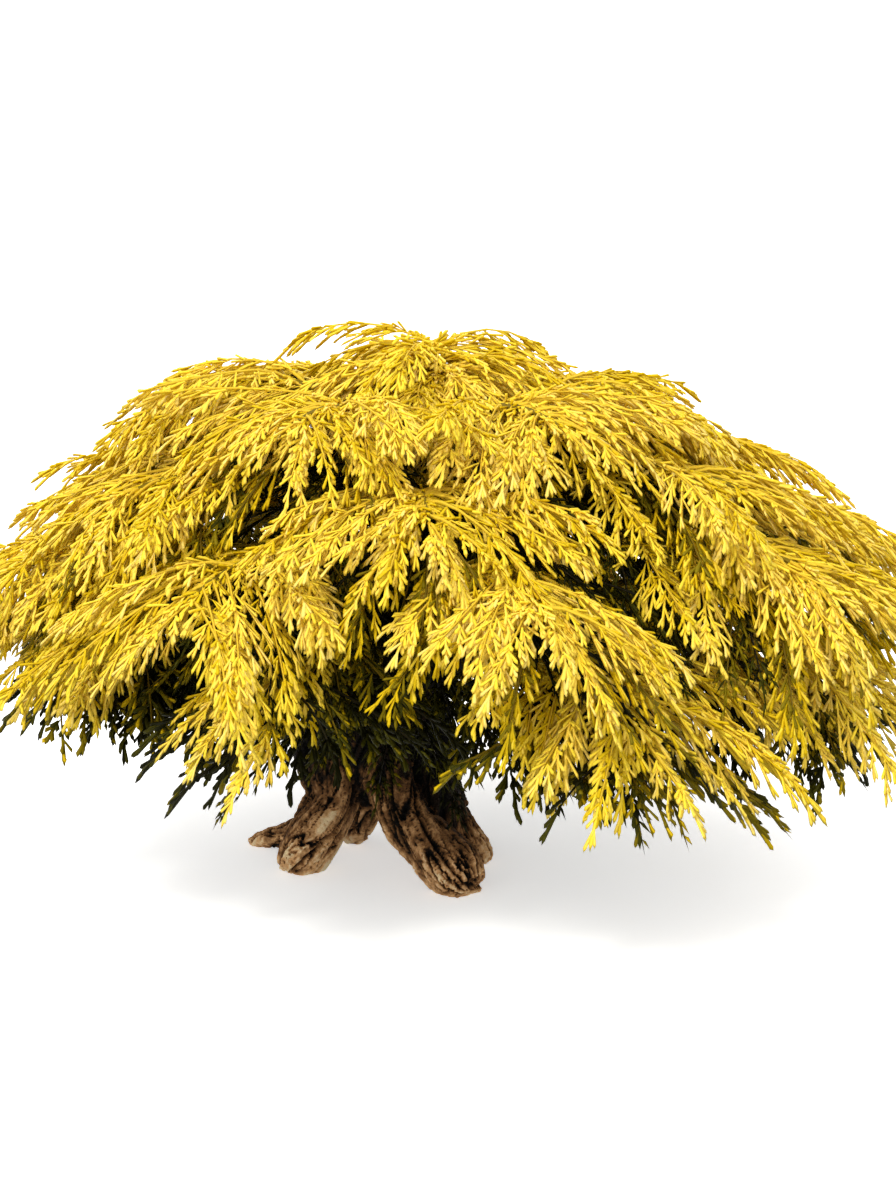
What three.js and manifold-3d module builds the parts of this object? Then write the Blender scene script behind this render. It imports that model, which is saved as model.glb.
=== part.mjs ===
// A low, wide golden sawara cypress. A gnarled trunk on spread roots runs up to the top of a dome,
// and four tiers of boughs arch out of it. Each bough ends in a drooping plume of foliage, and one
// more plume crowns the trunk's tip. Millimetres, +Z up, and the front of the plant faces -Y.
// The origin is at ground level, on the flat cut under the trunk's main root.

import * as THREE from 'three';
import { mergeVertices } from 'three/addons/utils/BufferGeometryUtils.js';
import Module from 'manifold-3d';

const wasm = await Module();
wasm.setup();

const UP = new THREE.Vector3(0, 0, 1);
const BACK = new THREE.Vector3(0, 1, 0);
const SEED = 20260;

// Air between neighbouring solids, and between a bough and the trunk that it leaves.
const GAP = 0.3;
const TRUNK_GAP = 0.35;

// The trunk's leader, from between the roots to its tip under the top plume. It is wider than deep.
const LEADER = {
  path: [[-34, 8, 28], [-33, 5, 58], [-29, 3, 84], [-23, 3, 112], [-15, 2, 165], [-8, 0, 246]],
  radii: [8, 26, 25, 18.5, 11.5, 2.6],
  sides: 9,
  flatness: 0.25,
  ribs: 0.07,
};

// Stems and roots under the leader. Each runs from inside the leader down to a blunt toe that the
// ground cuts flat. The first is the heavy root that steps forward and to the right, the second
// stands under the right half of the leader, and the fifth is the left stem with its root.
const ROOTS = [
  { path: [[-26, 2, 84], [-29, -9, 58], [-22, -22, 33], [11, -55, 2.5]], radii: [8, 12, 12, 15.5] },
  { path: [[-22, 4, 92], [-13, 4, 60], [-6, 1, 30], [3, -1, -8]], radii: [9, 19, 13.5, 12] },
  { path: [[-18, 5, 76], [-7, 6, 48], [2, 4, 23], [18, 1, 1]], radii: [8, 12, 9, 8.5] },
  { path: [[-20, 8, 80], [-13, 15, 54], [-5, 29, 26], [6, 53, 0]], radii: [7, 12, 10, 8] },
  { path: [[-38, 4, 92], [-60, 3, 62], [-58, 0, 36], [-80, -15, 1.5]], radii: [9, 17, 12.5, 13] },
  { path: [[-42, 6, 72], [-53, 10, 46], [-69, 20, 16], [-101, 44, -0.5]], radii: [6, 11, 8.5, 6.5] },
  { path: [[-32, 7, 74], [-38, 12, 50], [-44, 25, 25], [-50, 57, -1]], radii: [7, 13, 11, 7.5] },
];
const ROOT_SIDES = 7;
const ROOT_RIBS = 0.09;

// A root's end is rounded off from this share of its length.
const TOE_SHARE = 0.88;

// Tiers of boughs, from the ground up. Heights, reaches and radii are in millimetres. Azimuths and
// slopes are in degrees: azimuth 0 is the front, and 90 is the plant's side at +X. centre is the
// middle of the tier along X, and tilt is how far its rim sinks towards +X. bare is the share of a
// bough's curve that has no foliage: the plume's stem takes over from there.
const TIERS = [
  {
    name: 'skirt', boughs: 8, azimuth: 24, centre: 0, tilt: 10, radius: 6.4, bare: 0.38,
    start: 76, rise: 46, handle: 125, reach: 252, tip: 90, droop: -42, hang: 84,
  },
  {
    name: 'lower', boughs: 8, azimuth: 12, centre: 0, tilt: -2, radius: 5.8, bare: 0.36,
    start: 114, rise: 48, handle: 110, reach: 243, tip: 150, droop: -35, hang: 78,
  },
  {
    name: 'middle', boughs: 6, azimuth: 0, centre: -6, tilt: -2, radius: 5.2, bare: 0.33,
    start: 152, rise: 49, handle: 95, reach: 198, tip: 190, droop: -29, hang: 64,
  },
  {
    name: 'upper', boughs: 6, azimuth: -28, centre: -12, tilt: 4, radius: 4.4, bare: 0.28,
    start: 192, rise: 56, handle: 76, reach: 144, tip: 230, droop: -23, hang: 52,
  },
];
const SWERVE = 20;

// The top plume radiates from the tip of the leader. lift is how far above it its stem goes on, and
// its twigs go up the stem in a spiral, each turned this far from the last.
const TOP = {
  centre: -6, reach: 80, lift: 19, stemRadius: 3, twigs: 8, azimuth: 20, turn: 137.5, rootOffset: 1.7,
  lowRise: 32, highRise: 42, spray: 74, hang: 0.45,
};

// Neighbouring boughs leave the trunk this much higher or lower than their tier.
const STAGGER = 9;

// The plume's stem ends at this share of the curve, and its last spray fills the rest.
const STEM_SHARE = 0.83;
const BOUGH_TIP_RADIUS = 2.4;
const STEM_TIP_RADIUS = 1.2;

// Twigs and sprays. A spray's hang is how far its tip falls, as a share of its length.
const TWIGS_PER_PLUME = 9;
const TWIG_RADIUS = 1.5;
const TWIG_ARCH = 0.08;
const SPRAY_LENGTH = 82;
const SPRAY_SLIMNESS = 0.7;
const SPRAY_THICKNESS = 3;
const SPRAY_HANG = 0.45;
const LAST_HANG = 0.25;
const SPRAY_SIZES = [1, 0.85, 0.72];

// Half of a spray's outline, as shares of its length and of its half width: three teeth, each with
// the notch beyond it. The other half sits a little lower. The blade is thickest at its heart.
const SPRAY_SIDE = [[0.3, 0.66], [0.4, 0.34], [0.62, 1], [0.6, 0.38], [0.88, 0.72], [0.82, 0.24]];
const SPRAY_SHIFT = 0.93;
const SPRAY_HEART = 0.42;

// The hem of the crown: no spray hangs lower. It sinks towards +X, and it lifts by rise over the
// stems, a little to the left of the front, where the trunk shows. parting and width are in degrees.
const HEM = { height: 62, tilt: 12, parting: -8, width: 15, rise: 34 };

// How far a plume may lean over its own slice of the crown, as a share of the slice, and how far
// past its tier's reach.
const SLICE_LEEWAY = 1.05;
const REACH_LEEWAY = 14;

// A seeded row of numbers from 0 to 1.
function seededRandom(seed) {
  let state = seed >>> 0;
  return () => {
    state = (state + 0x6d2b79f5) >>> 0;
    let t = state;
    t = Math.imul(t ^ (t >>> 15), t | 1);
    t ^= t + Math.imul(t ^ (t >>> 7), t | 61);
    return ((t ^ (t >>> 14)) >>> 0) / 4294967296;
  };
}

function radians(degrees) {
  return THREE.MathUtils.degToRad(degrees);
}

function solidOf(geometry) {
  const bare = geometry.clone();
  bare.deleteAttribute('normal');
  bare.deleteAttribute('uv');
  const merged = mergeVertices(bare, 1e-4);
  const solid = new wasm.Manifold(new wasm.Mesh({
    numProp: 3,
    vertProperties: merged.getAttribute('position').array,
    triVerts: new Uint32Array(merged.getIndex().array),
  }));
  if (solid.volume() <= 0) throw new Error('a solid is inside out');
  return solid;
}

function geometryOf(solid) {
  const mesh = solid.getMesh();
  const geometry = new THREE.BufferGeometry();
  geometry.setAttribute('position', new THREE.BufferAttribute(mesh.vertProperties, 3));
  geometry.setIndex(new THREE.BufferAttribute(mesh.triVerts, 1));
  geometry.computeVertexNormals();
  return geometry;
}

// Keeps a solid's largest body, and drops the scraps that a cut leaves.
function largestBody(solid) {
  return solid.decompose().reduce((a, b) => (b.volume() > a.volume() ? b : a));
}

// The point on a curve, its direction, and two directions across it. side is square to reference.
function frameOn(curve, share, reference = UP) {
  const point = curve.getPoint(share);
  const along = curve.getTangent(share);
  const side = new THREE.Vector3().crossVectors(along, reference).normalize();
  const lift = new THREE.Vector3().crossVectors(side, along).normalize();
  return { point, along, side, lift };
}

// A limb along a curve, from one share of it to another: a cylinder whose rings are moved onto the
// curve. radiusAt gives the radius at a share of the curve and at an angle round the limb.
function limbSolid(curve, radiusAt, sides, rings, { from = 0, to = 1, reference = UP } = {}) {
  const tube = new THREE.CylinderGeometry(1, 1, 1, sides, rings);
  const place = tube.getAttribute('position');
  for (let i = 0; i < place.count; i += 1) {
    const share = THREE.MathUtils.lerp(from, to, place.getY(i) + 0.5);
    const { point, side, lift } = frameOn(curve, share, reference);
    const angle = Math.atan2(place.getZ(i), place.getX(i));
    const reach = Math.hypot(place.getX(i), place.getZ(i)) * radiusAt(share, angle);
    point.addScaledVector(side, reach * Math.cos(angle)).addScaledVector(lift, reach * Math.sin(angle));
    place.setXYZ(i, point.x, point.y, point.z);
  }
  return solidOf(tube);
}

// A smooth curve through a limb's path, and the radius at a share of it.
function pathCurve(path) {
  return new THREE.CatmullRomCurve3(path.map((point) => new THREE.Vector3(...point)));
}

function radiusOn(radii, share) {
  const place = share * (radii.length - 1);
  const index = Math.min(Math.floor(place), radii.length - 2);
  return THREE.MathUtils.lerp(radii[index], radii[index + 1], place - index);
}

// The trunk's leader. Its section is a soft oval whose corners wind a little up the trunk.
function leaderSolid(extra) {
  const radius = (share, angle) => {
    const oval = LEADER.flatness * (1 - share) * Math.cos(2 * angle);
    const ribs = LEADER.ribs * Math.cos(3 * angle + 9 * share);
    return radiusOn(LEADER.radii, share) * (1 + oval + ribs) + extra;
  };
  return limbSolid(pathCurve(LEADER.path), radius, LEADER.sides, 10, { reference: BACK });
}

// A stem or root, whose end is rounded off.
function rootSolid({ path, radii }, extra) {
  const radius = (share, angle) => {
    const pastToe = Math.max(0, (share - TOE_SHARE) / (1 - TOE_SHARE));
    const blunt = Math.sqrt(1 - 0.72 * pastToe ** 2);
    const ribs = ROOT_RIBS * Math.cos(3 * angle + 6 * share);
    return radiusOn(radii, share) * blunt * (1 + ribs) + extra;
  };
  return limbSolid(pathCurve(path), radius, ROOT_SIDES, 8, { reference: BACK });
}

// The whole trunk, cut flat at the ground. extra grows it, so that boughs can be cut clear of it.
function trunkSolid(extra) {
  const ground = new THREE.BoxGeometry(400, 400, 100);
  ground.translate(0, 0, -50);
  const parts = [leaderSolid(extra), ...ROOTS.map((root) => rootSolid(root, extra))];
  return largestBody(wasm.Manifold.union(parts).subtract(solidOf(ground)));
}

// The leader's axis at a height, where boughs start.
function leaderAt(height) {
  const upper = Math.max(1, LEADER.path.findIndex((point) => point[2] > height));
  const low = new THREE.Vector3(...LEADER.path[upper - 1]);
  const high = new THREE.Vector3(...LEADER.path[upper]);
  return low.lerp(high, (height - low.z) / (high.z - low.z));
}

// One bough's whole curve: out of the leader, over its crest and down to the plume's tip. Azimuth 0
// points to the front.
function boughCurve(tier, azimuth, swerve, stagger) {
  const away = new THREE.Vector3(Math.sin(azimuth), -Math.cos(azimuth), 0);
  const across = new THREE.Vector3(-away.y, away.x, 0);
  const centre = new THREE.Vector3(tier.centre, 0, 0);
  const tipHeight = tier.tip - tier.tilt * Math.sin(azimuth);
  const rise = radians(tier.rise);
  const droop = radians(tier.droop);
  const foot = leaderAt(tier.start + stagger);
  const shoulder = foot.clone().lerp(centre, 0.4)
    .addScaledVector(away, tier.handle * Math.cos(rise))
    .setZ(foot.z - 0.5 * stagger + tier.handle * Math.sin(rise));
  const tip = centre.clone().addScaledVector(away, tier.reach).setZ(tipHeight);
  const crest = tip.clone()
    .addScaledVector(away, -tier.hang * Math.cos(droop))
    .addScaledVector(across, swerve)
    .setZ(tipHeight - tier.hang * Math.sin(droop));
  return new THREE.CubicBezierCurve3(foot, shoulder, crest, tip);
}

// A sprig: a three-sided twig along a curve, which goes over into a toothed blade whose tip hangs.
// length and hang are the blade's.
function sprigSolid(curve, radiusAt, segments, from, to, length, hang) {
  const points = [];
  const faces = [];
  for (let i = 0; i <= segments; i += 1) {
    const share = THREE.MathUtils.lerp(from, to, i / segments);
    const { point, side, lift } = frameOn(curve, share);
    const radius = radiusAt(share);
    for (const angle of [-Math.PI / 6, Math.PI / 2, (7 * Math.PI) / 6]) {
      const corner = point.clone().addScaledVector(side, radius * Math.cos(angle));
      points.push(corner.addScaledVector(lift, radius * Math.sin(angle)));
    }
  }
  faces.push(0, 1, 2);
  for (let i = 0; i < segments; i += 1) {
    for (let j = 0; j < 3; j += 1) {
      const a = 3 * i + j;
      const b = 3 * i + ((j + 1) % 3);
      faces.push(a, b + 3, b, a, a + 3, b + 3);
    }
  }

  const { point, along, side, lift } = frameOn(curve, to);
  const halfWidth = (length * SPRAY_SLIMNESS) / 2;
  const at = (x, y, z) => point.clone()
    .addScaledVector(along, x * length)
    .addScaledVector(side, y * halfWidth)
    .addScaledVector(lift, z)
    .addScaledVector(UP, -hang * length * x * x);
  const [rightRoot, topRoot, leftRoot] = [0, 1, 2].map((j) => 3 * segments + j);
  const first = points.length;
  points.push(...SPRAY_SIDE.map(([x, y]) => at(x, y, 0)));
  points.push(at(1, 0, 0));
  points.push(...SPRAY_SIDE.map(([x, y]) => at(x * SPRAY_SHIFT, -y, 0)).reverse());
  const rim = [rightRoot, ...Array.from({ length: points.length - first }, (_, i) => first + i), leftRoot];
  const top = points.push(at(SPRAY_HEART, 0, SPRAY_THICKNESS / 2)) - 1;
  const bottom = points.push(at(SPRAY_HEART, 0, -SPRAY_THICKNESS / 2)) - 1;
  for (let i = 0; i + 1 < rim.length; i += 1) {
    faces.push(rim[i], rim[i + 1], top, rim[i + 1], rim[i], bottom);
  }
  faces.push(leftRoot, topRoot, top, topRoot, rightRoot, top, rightRoot, leftRoot, bottom);
  return solidOf(new THREE.BufferGeometry().setFromPoints(points).setIndex(faces));
}

// Everything that is in place so far, as solids with their boxes.
const placed = [];

function place(solid) {
  const piece = { solid, box: solid.boundingBox() };
  placed.push(piece);
  return piece;
}

function boxesNear(a, b, gap) {
  return [0, 1, 2].every((k) => a.min[k] < b.max[k] + gap && b.min[k] < a.max[k] + gap);
}

// Whether a solid keeps its distance from every piece but the one that it grows on.
function isClear(solid, parent) {
  const box = solid.boundingBox();
  return placed.every((other) => other === parent
    || !boxesNear(box, other.box, GAP)
    || solid.minGap(other.solid, 2 * GAP) > GAP);
}

// How low foliage may hang at a place in the crown.
function hemAt(x, y) {
  const turn = (THREE.MathUtils.radToDeg(Math.atan2(x, -y)) - HEM.parting) / HEM.width;
  return HEM.height - (HEM.tilt * x) / TIERS[0].reach + HEM.rise * Math.exp(-turn * turn);
}

// Whether a solid keeps to a plume's slice of the crown, its tier's reach and the crown's hem.
function isInside(plume, solid) {
  const { vertProperties } = solid.getMesh();
  for (let i = 0; i < vertProperties.length; i += 3) {
    const [x, y, z] = vertProperties.slice(i, i + 3);
    const turn = Math.atan2(x - plume.tier.centre, -y) - plume.azimuth;
    const offAxis = Math.abs(Math.atan2(Math.sin(turn), Math.cos(turn)));
    if (offAxis > plume.halfAngle * SLICE_LEEWAY) return false;
    if (Math.hypot(x - plume.tier.centre, y) > plume.tier.reach + REACH_LEEWAY) return false;
    if (z < hemAt(x, y)) return false;
  }
  return true;
}

// Adds a twig from a point on a plume's stem. It arches a little and ends in a spray. Where it would
// leave its room or touch another piece, a smaller one is tried, and then it is left out.
function addTwig(plume, root, heading, reach, sprayLength, hang) {
  const radius = (share) => TWIG_RADIUS * (1.1 - 0.3 * share);
  for (const size of SPRAY_SIZES) {
    const middle = root.clone().addScaledVector(heading, 0.5 * reach * size);
    const end = root.clone().addScaledVector(heading, reach * size);
    middle.z += TWIG_ARCH * reach;
    end.z -= TWIG_ARCH * reach;
    const curve = new THREE.QuadraticBezierCurve3(root, middle, end);
    const sprig = sprigSolid(curve, radius, 1, 0, 1, sprayLength * size, hang);
    if (isInside(plume, sprig) && isClear(sprig, plume.stem)) {
      plume.parts.push(place(sprig));
      return;
    }
  }
}

// Fills a plume: twigs from alternate sides of its stem, from the tip back to the bough. The sprays
// near the tip are shorter.
function fillPlume(plume) {
  const random = seededRandom(plume.seed);
  const vary = (low, high) => THREE.MathUtils.lerp(low, high, random());
  for (let i = 0; i < TWIGS_PER_PLUME; i += 1) {
    const inward = (i + vary(0, 0.4)) / (TWIGS_PER_PLUME - 0.5);
    const share = THREE.MathUtils.lerp(STEM_SHARE - 0.04, plume.tier.bare + 0.05, inward);
    const hand = i % 2 ? 1 : -1;
    const { point, along, side } = frameOn(plume.curve, share);
    const spread = radians(vary(44, 58) - 14 * share);
    const heading = along.clone().multiplyScalar(Math.cos(spread));
    heading.addScaledVector(side, hand * Math.sin(spread));
    heading.z += vary(0, 0.24);
    const sprayLength = SPRAY_LENGTH * THREE.MathUtils.lerp(0.72, 1, inward) * vary(0.9, 1.05);
    addTwig(plume, point, heading.normalize(), vary(12, 40), sprayLength, SPRAY_HANG);
  }
}

// Fills the top plume: twigs in a spiral up its upright stem, the higher ones steeper.
function fillTop(plume) {
  const random = seededRandom(plume.seed);
  const vary = (low, high) => THREE.MathUtils.lerp(low, high, random());
  for (let i = 0; i < TOP.twigs; i += 1) {
    const height = (i + 0.5) / TOP.twigs;
    const azimuth = radians(TOP.azimuth + i * TOP.turn);
    const rise = radians(THREE.MathUtils.lerp(TOP.lowRise, TOP.highRise, height));
    const level = Math.cos(rise);
    const heading = new THREE.Vector3(level * Math.sin(azimuth), -level * Math.cos(azimuth), Math.sin(rise));
    const root = plume.curve.getPoint(height);
    root.x += TOP.rootOffset * Math.sin(azimuth);
    root.y -= TOP.rootOffset * Math.cos(azimuth);
    addTwig(plume, root, heading, vary(4, 8), TOP.spray * vary(0.88, 1), TOP.hang);
  }
}

const bark = new THREE.MeshStandardMaterial({ color: 0x6b4a36, roughness: 0.92, metalness: 0 });
const gold = new THREE.MeshStandardMaterial({ color: 0xe8c22c, roughness: 0.6, metalness: 0 });

const plant = new THREE.Group();

function addNode(name, solid, material) {
  const mesh = new THREE.Mesh(geometryOf(solid), material);
  mesh.name = name;
  plant.add(mesh);
}

const trunk = trunkSolid(0);
const trunkWithAir = trunkSolid(TRUNK_GAP);
addNode('trunk', trunk, bark);
place(trunk);

// Boughs and the plumes' stems come first, so that no foliage stands in their way.
const { mapLinear } = THREE.MathUtils;
const plumes = TIERS.flatMap((tier, level) => {
  const random = seededRandom(SEED + level);
  const step = (2 * Math.PI) / tier.boughs;
  return Array.from({ length: tier.boughs }, (_, i) => {
    const azimuth = radians(tier.azimuth) + i * step;
    const curve = boughCurve(tier, azimuth, (random() - 0.5) * SWERVE, STAGGER * ((i % 3) - 1));
    const number = String(i + 1).padStart(2, '0');
    const boughRadius = (share) => mapLinear(share, 0, tier.bare, tier.radius, BOUGH_TIP_RADIUS);
    const whole = limbSolid(curve, boughRadius, 5, 3, { to: tier.bare });
    const bough = largestBody(whole.subtract(trunkWithAir));
    addNode(`bough_${tier.name}_${number}`, bough, bark);
    place(bough);

    const from = tier.bare + (GAP + 0.05) / curve.getLength();
    const radius = (share) => mapLinear(share, from, STEM_SHARE, BOUGH_TIP_RADIUS, STEM_TIP_RADIUS);
    const lastSpray = curve.getPoint(1).distanceTo(curve.getPoint(STEM_SHARE));
    const stem = place(sprigSolid(curve, radius, 3, from, STEM_SHARE, lastSpray, LAST_HANG));
    return {
      name: `plume_${tier.name}_${number}`,
      tier,
      azimuth,
      halfAngle: step / 2,
      curve,
      seed: SEED + 100 * level + i,
      stem,
      parts: [stem],
    };
  });
});

// The top plume's short upright stem stands on the leader's tip.
const tip = new THREE.Vector3(...LEADER.path.at(-1));
const topCurve = new THREE.LineCurve3(
  tip.clone().setZ(tip.z + TRUNK_GAP),
  tip.clone().setZ(tip.z + TOP.lift),
);
const topStem = place(limbSolid(topCurve, () => TOP.stemRadius, 5, 1, { reference: BACK }));
const top = {
  name: 'plume_top',
  tier: TOP,
  azimuth: 0,
  halfAngle: Math.PI,
  curve: topCurve,
  seed: SEED,
  stem: topStem,
  parts: [topStem],
};

// Foliage goes in from the top down, so that each tier lies over the one below it.
fillTop(top);
for (const plume of [...plumes].reverse()) fillPlume(plume);
plumes.push(top);
for (const plume of plumes) {
  const whole = wasm.Manifold.union(plume.parts.map((piece) => piece.solid));
  addNode(plume.name, largestBody(whole), gold);
}

export default plant;
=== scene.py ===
# A low, wide golden sawara cypress: a gnarled trunk on spread roots under a dome of drooping,
# golden foliage. The plant's own sizes are in millimetres, and its meshes are made in metres.
# +Z is up, and the front of the plant faces -Y.

import math

import bpy
import numpy as np
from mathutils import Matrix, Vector, noise


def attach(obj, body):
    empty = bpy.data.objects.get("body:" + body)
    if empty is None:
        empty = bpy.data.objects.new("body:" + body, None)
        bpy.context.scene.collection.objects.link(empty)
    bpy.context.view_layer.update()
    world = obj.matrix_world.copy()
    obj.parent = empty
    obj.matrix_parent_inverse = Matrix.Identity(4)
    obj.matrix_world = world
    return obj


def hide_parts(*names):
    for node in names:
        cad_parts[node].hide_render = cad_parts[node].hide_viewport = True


MM = 0.001
UP = np.array([0.0, 0.0, 1.0])
BACK = np.array([0.0, 1.0, 0.0])
SEED = 20260

# The camera's place in the row frame, in metres, and its lens in millimetres.
CAMERA_TARGET = (0.0, 0.0, 0.138)
CAMERA_DISTANCE = 1.5
CAMERA_ELEVATION = 10.5
CAMERA_LENS = 90.3

# The limbs, as in the plant's source.
LEADER = {
    "path": [(-34, 8, 28), (-33, 5, 58), (-29, 3, 84), (-23, 3, 112), (-15, 2, 165), (-8, 0, 246)],
    "radii": [8, 26, 25, 18.5, 11.5, 2.6],
    "flatness": 0.25,
    "ribs": 0.07,
}
ROOTS = [
    {"path": [(-26, 2, 84), (-29, -9, 58), (-22, -22, 33), (11, -55, 2.5)], "radii": [8, 12, 12, 15.5]},
    {"path": [(-22, 4, 92), (-13, 4, 60), (-6, 1, 30), (3, -1, -8)], "radii": [9, 19, 13.5, 12]},
    {"path": [(-18, 5, 76), (-7, 6, 48), (2, 4, 23), (18, 1, 1)], "radii": [8, 12, 9, 8.5]},
    {"path": [(-20, 8, 80), (-13, 15, 54), (-5, 29, 26), (6, 53, 0)], "radii": [7, 12, 10, 8]},
    {"path": [(-38, 4, 92), (-60, 3, 62), (-58, 0, 36), (-80, -15, 1.5)], "radii": [9, 17, 12.5, 13]},
    {"path": [(-42, 6, 72), (-53, 10, 46), (-69, 20, 16), (-101, 44, -0.5)], "radii": [6, 11, 8.5, 6.5]},
    {"path": [(-32, 7, 74), (-38, 12, 50), (-44, 25, 25), (-50, 57, -1)], "radii": [7, 13, 11, 7.5]},
]
ROOT_RIBS = 0.09
TOE_SHARE = 0.88

TIERS = [
    {
        "name": "skirt", "boughs": 8, "azimuth": 24, "centre": 0, "tilt": 10, "radius": 6.4, "bare": 0.38,
        "start": 76, "rise": 46, "handle": 125, "reach": 252, "tip": 90, "droop": -42, "hang": 84,
    },
    {
        "name": "lower", "boughs": 8, "azimuth": 12, "centre": 0, "tilt": -2, "radius": 5.8, "bare": 0.36,
        "start": 114, "rise": 48, "handle": 110, "reach": 243, "tip": 150, "droop": -35, "hang": 78,
    },
    {
        "name": "middle", "boughs": 6, "azimuth": 0, "centre": -6, "tilt": -2, "radius": 5.2, "bare": 0.33,
        "start": 152, "rise": 49, "handle": 95, "reach": 198, "tip": 190, "droop": -29, "hang": 64,
    },
    {
        "name": "upper", "boughs": 6, "azimuth": -28, "centre": -12, "tilt": 4, "radius": 4.4, "bare": 0.28,
        "start": 192, "rise": 56, "handle": 76, "reach": 144, "tip": 230, "droop": -23, "hang": 52,
    },
]
SWERVE = 20
STAGGER = 9
STEM_SHARE = 0.83
BOUGH_TIP_RADIUS = 2.4
STEM_TIP_RADIUS = 1.2
TWIGS_PER_PLUME = 9
TWIG_ARCH = 0.08
SPRAY_LENGTH = 82
HEM = {"height": 62, "tilt": 12, "parting": -8, "width": 15, "rise": 34}
TOP = {
    "centre": -6, "reach": 80, "lift": 19, "twigs": 8, "azimuth": 20, "turn": 137.5,
    "low_rise": 32, "high_rise": 42, "spray": 74, "hang": 0.45,
}

# The finer growth. Lengths are in millimetres. A rise is a slope: how far a twig climbs for its reach.
FINE_TWIGS = 13
FINE_RISE = {
    "skirt": (-0.22, 0.08), "lower": (-0.12, 0.2), "middle": (-0.12, 0.2), "upper": (-0.22, 0.08),
}
BRANCHLET_SPACING = 5.4
FINGER_RADIUS = 1.08
LEAFY_KINDS = 12
BARE_KINDS = 4
WIDEST_BRANCHLET = 28
GOLDEN_TURN = 137.5
LOOSE_TOP_TWIGS = 12

# How far a spray's tip stays above the crown's hem, and how much farther on the plant's left side.
BRIGHT_MARGIN = 30
UNDER_MARGIN = 28
INSIDE_MARGIN = 16
HEM_MARGIN = 9
LEFT_FROM, LEFT_TO, LEFT_LIFT = -80, -140, 14

# Shares of the twigs: those with yellow sprays rather than gold ones, and those with a spray under them
# in darker tones, painted as the shade under the bright one. Below the upper tier, sprays are painted
# duller, as the shade of the tiers above, where they start within SHADED_REACH and end within
# SHADED_END_REACH.
# No dark spray starts past RIM_REACH above the skirt. All are shares of a tier's reach.
YELLOW_SHARE = 0.6
UNDER_SHARE = 0.38
SHADED_REACH = 0.57
SHADED_END_REACH = 0.8
RIM_REACH = 0.68

# The dark growth is its own green made near black, as painted shade inside the crown and under its hem.
# Dark growth: whether a piece's branchlets have fingers with leaves, their radius and their spacing.
DARK_GROWTH = {"hem": (True, 1.3, 6.6), "inside": (False, 1.35, 6.2), "core": (False, 1.35, 5.4)}
HEM_SPRAYS, LEFT_HEM_SPRAYS = 42, 60
INSIDE_SPRAYS = 15
CORE_SPRAYS = 140
CORE_FROM, CORE_TO = 86, 232

# The bark's furrows: their spacing across and along the grain and their depth, in millimetres, and
# how wide its cracks and grooves are, in steps of the noise.
CRACK_SHIFT = Vector((3.7, 9.1, 5.3))
BARK = {"across": 8, "lengthwise": 46, "depth": 2.6, "crack": 0.08, "groove": 0.15}
BOUGH_DEPTH = 0.78
VOXEL = 0.0009
# The bark's colours along its shade; the darkest stops are painted shade in its cracks and under the crown.
BARK_COLORS = [
    (0.0, (4, 2, 0)), (0.28, (32, 19, 7)), (0.56, (140, 98, 58)), (0.8, (226, 174, 118)),
    (1.0, (255, 228, 178)),
]

# The foliage's colours, from the dark growth inside the crown to the pale tips, in sRGB.
# The darker tones are dealt out partly as painted shade, the palest partly as a painted highlight.
TONES = [
    ("foliage_deep_green", (26, 26, 4)),
    ("foliage_green", (64, 62, 8)),
    ("foliage_olive", (128, 112, 8)),
    ("foliage_deep_gold", (218, 184, 12)),
    ("foliage_gold", (246, 215, 56)),
    ("foliage_yellow", (250, 217, 78)),
    ("foliage_pale", (250, 221, 108)),
]
DEEP_GREEN, GREEN, OLIVE, DEEP_GOLD, GOLD, YELLOW, PALE = range(len(TONES))
# Tones dealt out as painted shade: inside the lower tiers, under the bright sprays and in the dark growth.
SHADED_TONES = (GREEN, OLIVE, DEEP_GOLD, GOLD)
UNDER_SHADE_TONES = (DEEP_GREEN, DEEP_GREEN, GREEN, GREEN, OLIVE, DEEP_GOLD)
DARK_SHADE_TONES = (DEEP_GREEN, DEEP_GREEN, GREEN, GREEN, OLIVE)
TWIG_TONES = [("twig_dark", (30, 26, 9)), ("twig_olive", (118, 98, 20)), ("twig_gold", (222, 186, 48))]
DARK_WOOD, OLIVE_WOOD, GOLD_WOOD = range(len(TWIG_TONES))

# The corners of a shoot's three-sided section.
CORNERS = [math.radians(angle) for angle in (90, 210, 330)]


def seeded_random(seed):
    """The source's seeded row of numbers from 0 to 1."""
    mask = 0xFFFFFFFF
    state = seed & mask

    def draw():
        nonlocal state
        state = (state + 0x6D2B79F5) & mask
        t = state
        t = ((t ^ (t >> 15)) * (t | 1)) & mask
        t ^= (t + (((t ^ (t >> 7)) * (t | 61)) & mask)) & mask
        return ((t ^ (t >> 14)) & mask) / 4294967296

    return draw


def seeded_between(seed):
    """The source's seeded numbers, each between two bounds."""
    draw = seeded_random(seed)
    return lambda low, high: lerp(low, high, draw())


def lerp(a, b, share):
    return a + (b - a) * share


def unit(vector):
    return vector / np.linalg.norm(vector)


def frame_of(along, reference=UP):
    """A direction, and two across it: side is square to reference, and lift to both."""
    along = unit(along)
    side = unit(np.cross(along, reference))
    return along, side, np.cross(side, along)


class Bezier:
    """A Bezier curve through its control points, of degree 2 or 3."""

    def __init__(self, *points):
        self.points = [np.array(point, float) for point in points]

    def at(self, share):
        points = self.points
        while len(points) > 1:
            points = [lerp(a, b, share) for a, b in zip(points, points[1:])]
        return points[0]

    def along(self, share):
        points = [b - a for a, b in zip(self.points, self.points[1:])]
        while len(points) > 1:
            points = [lerp(a, b, share) for a, b in zip(points, points[1:])]
        return unit(points[0])


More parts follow.
